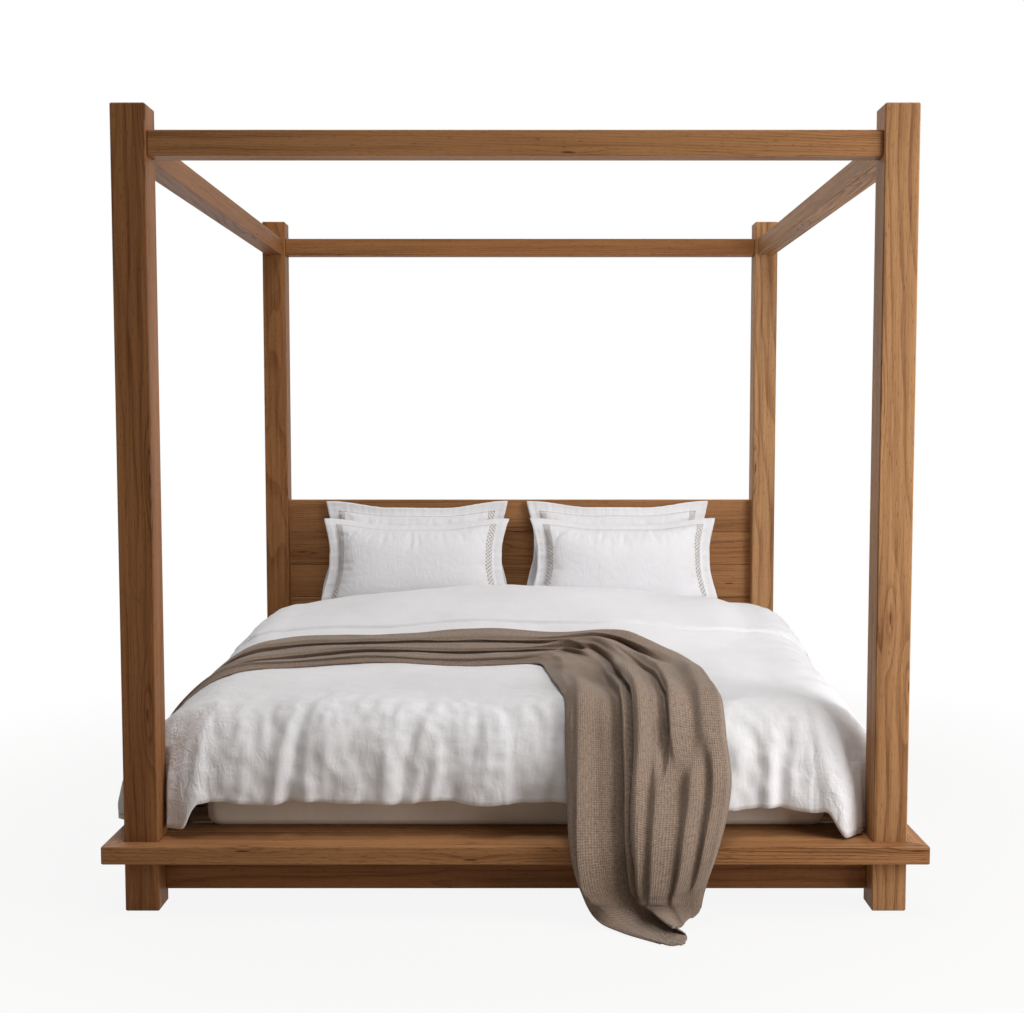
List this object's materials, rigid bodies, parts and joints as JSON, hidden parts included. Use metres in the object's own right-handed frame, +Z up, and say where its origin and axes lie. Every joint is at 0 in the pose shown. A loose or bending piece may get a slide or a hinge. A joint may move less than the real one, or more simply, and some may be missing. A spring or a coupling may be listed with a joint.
{
  "type": "four-poster canopy bed",
  "caption": "Solid timber canopy bed on a platform ledge, with square posts, open canopy rails, boarded headboard, mattress, linen duvet, flanged pillows and a waffle throw.",
  "frame": {"origin": "on the floor at the middle of the four posts, which is the underside of the middle centre leg", "axes": "+Z up, +Y towards the head of the bed, +X to the right when looking from the foot towards the head"},
  "size_m": [2.3, 2.441, 2.2459],
  "materials": {
    "timber": "satin",
    "slat_timber": "matte",
    "fitting_steel": "satin",
    "glide_plastic": "matte",
    "mattress_cover": "matte",
    "bed_linen": "matte",
    "pillow_linen": "matte",
    "throw_waffle": "matte"
  },
  "bodies": {
    "root": {"post_front_left": "timber", "post_front_right": "timber", "post_back_left": "timber", "post_back_right": "timber", "canopy_rail_front": "timber", "apron_front": "timber", "deck_board_front": "timber", "canopy_rail_back": "timber", "apron_back": "timber", "deck_board_back": "timber", "canopy_rail_left": "timber", "apron_left": "timber", "deck_board_left": "timber", "canopy_rail_right": "timber", "apron_right": "timber", "deck_board_right": "timber", "headboard_board_1": "timber", "headboard_board_2": "timber", "headboard_board_3": "timber", "headboard_board_4": "timber", "headboard_board_5": "timber", "headboard_board_6": "timber", "slat_01": "timber", "slat_02": "slat_timber", "slat_03": "slat_timber", "slat_04": "slat_timber", "slat_05": "slat_timber", "slat_06": "slat_timber", "slat_07": "slat_timber", "slat_08": "slat_timber", "slat_09": "slat_timber", "slat_10": "slat_timber", "slat_11": "slat_timber", "slat_12": "slat_timber", "slat_13": "slat_timber", "cleat_left": "slat_timber", "cleat_right": "slat_timber", "centre_beam": "slat_timber", "centre_leg_front": "slat_timber", "centre_leg_middle": "slat_timber", "centre_leg_back": "slat_timber", "beam_hanger_front": "fitting_steel", "beam_hanger_back": "fitting_steel", "corner_bracket_front_left": "fitting_steel", "corner_bracket_front_right": "fitting_steel", "corner_bracket_back_left": "fitting_steel", "corner_bracket_back_right": "fitting_steel", "foot_glide_front_left": "glide_plastic", "foot_glide_front_right": "glide_plastic", "foot_glide_back_left": "glide_plastic", "foot_glide_back_right": "glide_plastic", "mattress": "mattress_cover", "duvet": "bed_linen", "pillow_back_left": "pillow_linen", "pillow_back_right": "pillow_linen", "pillow_front_left": "pillow_linen", "pillow_front_right": "pillow_linen", "throw": "throw_waffle"}
  },
  "joints": []
}
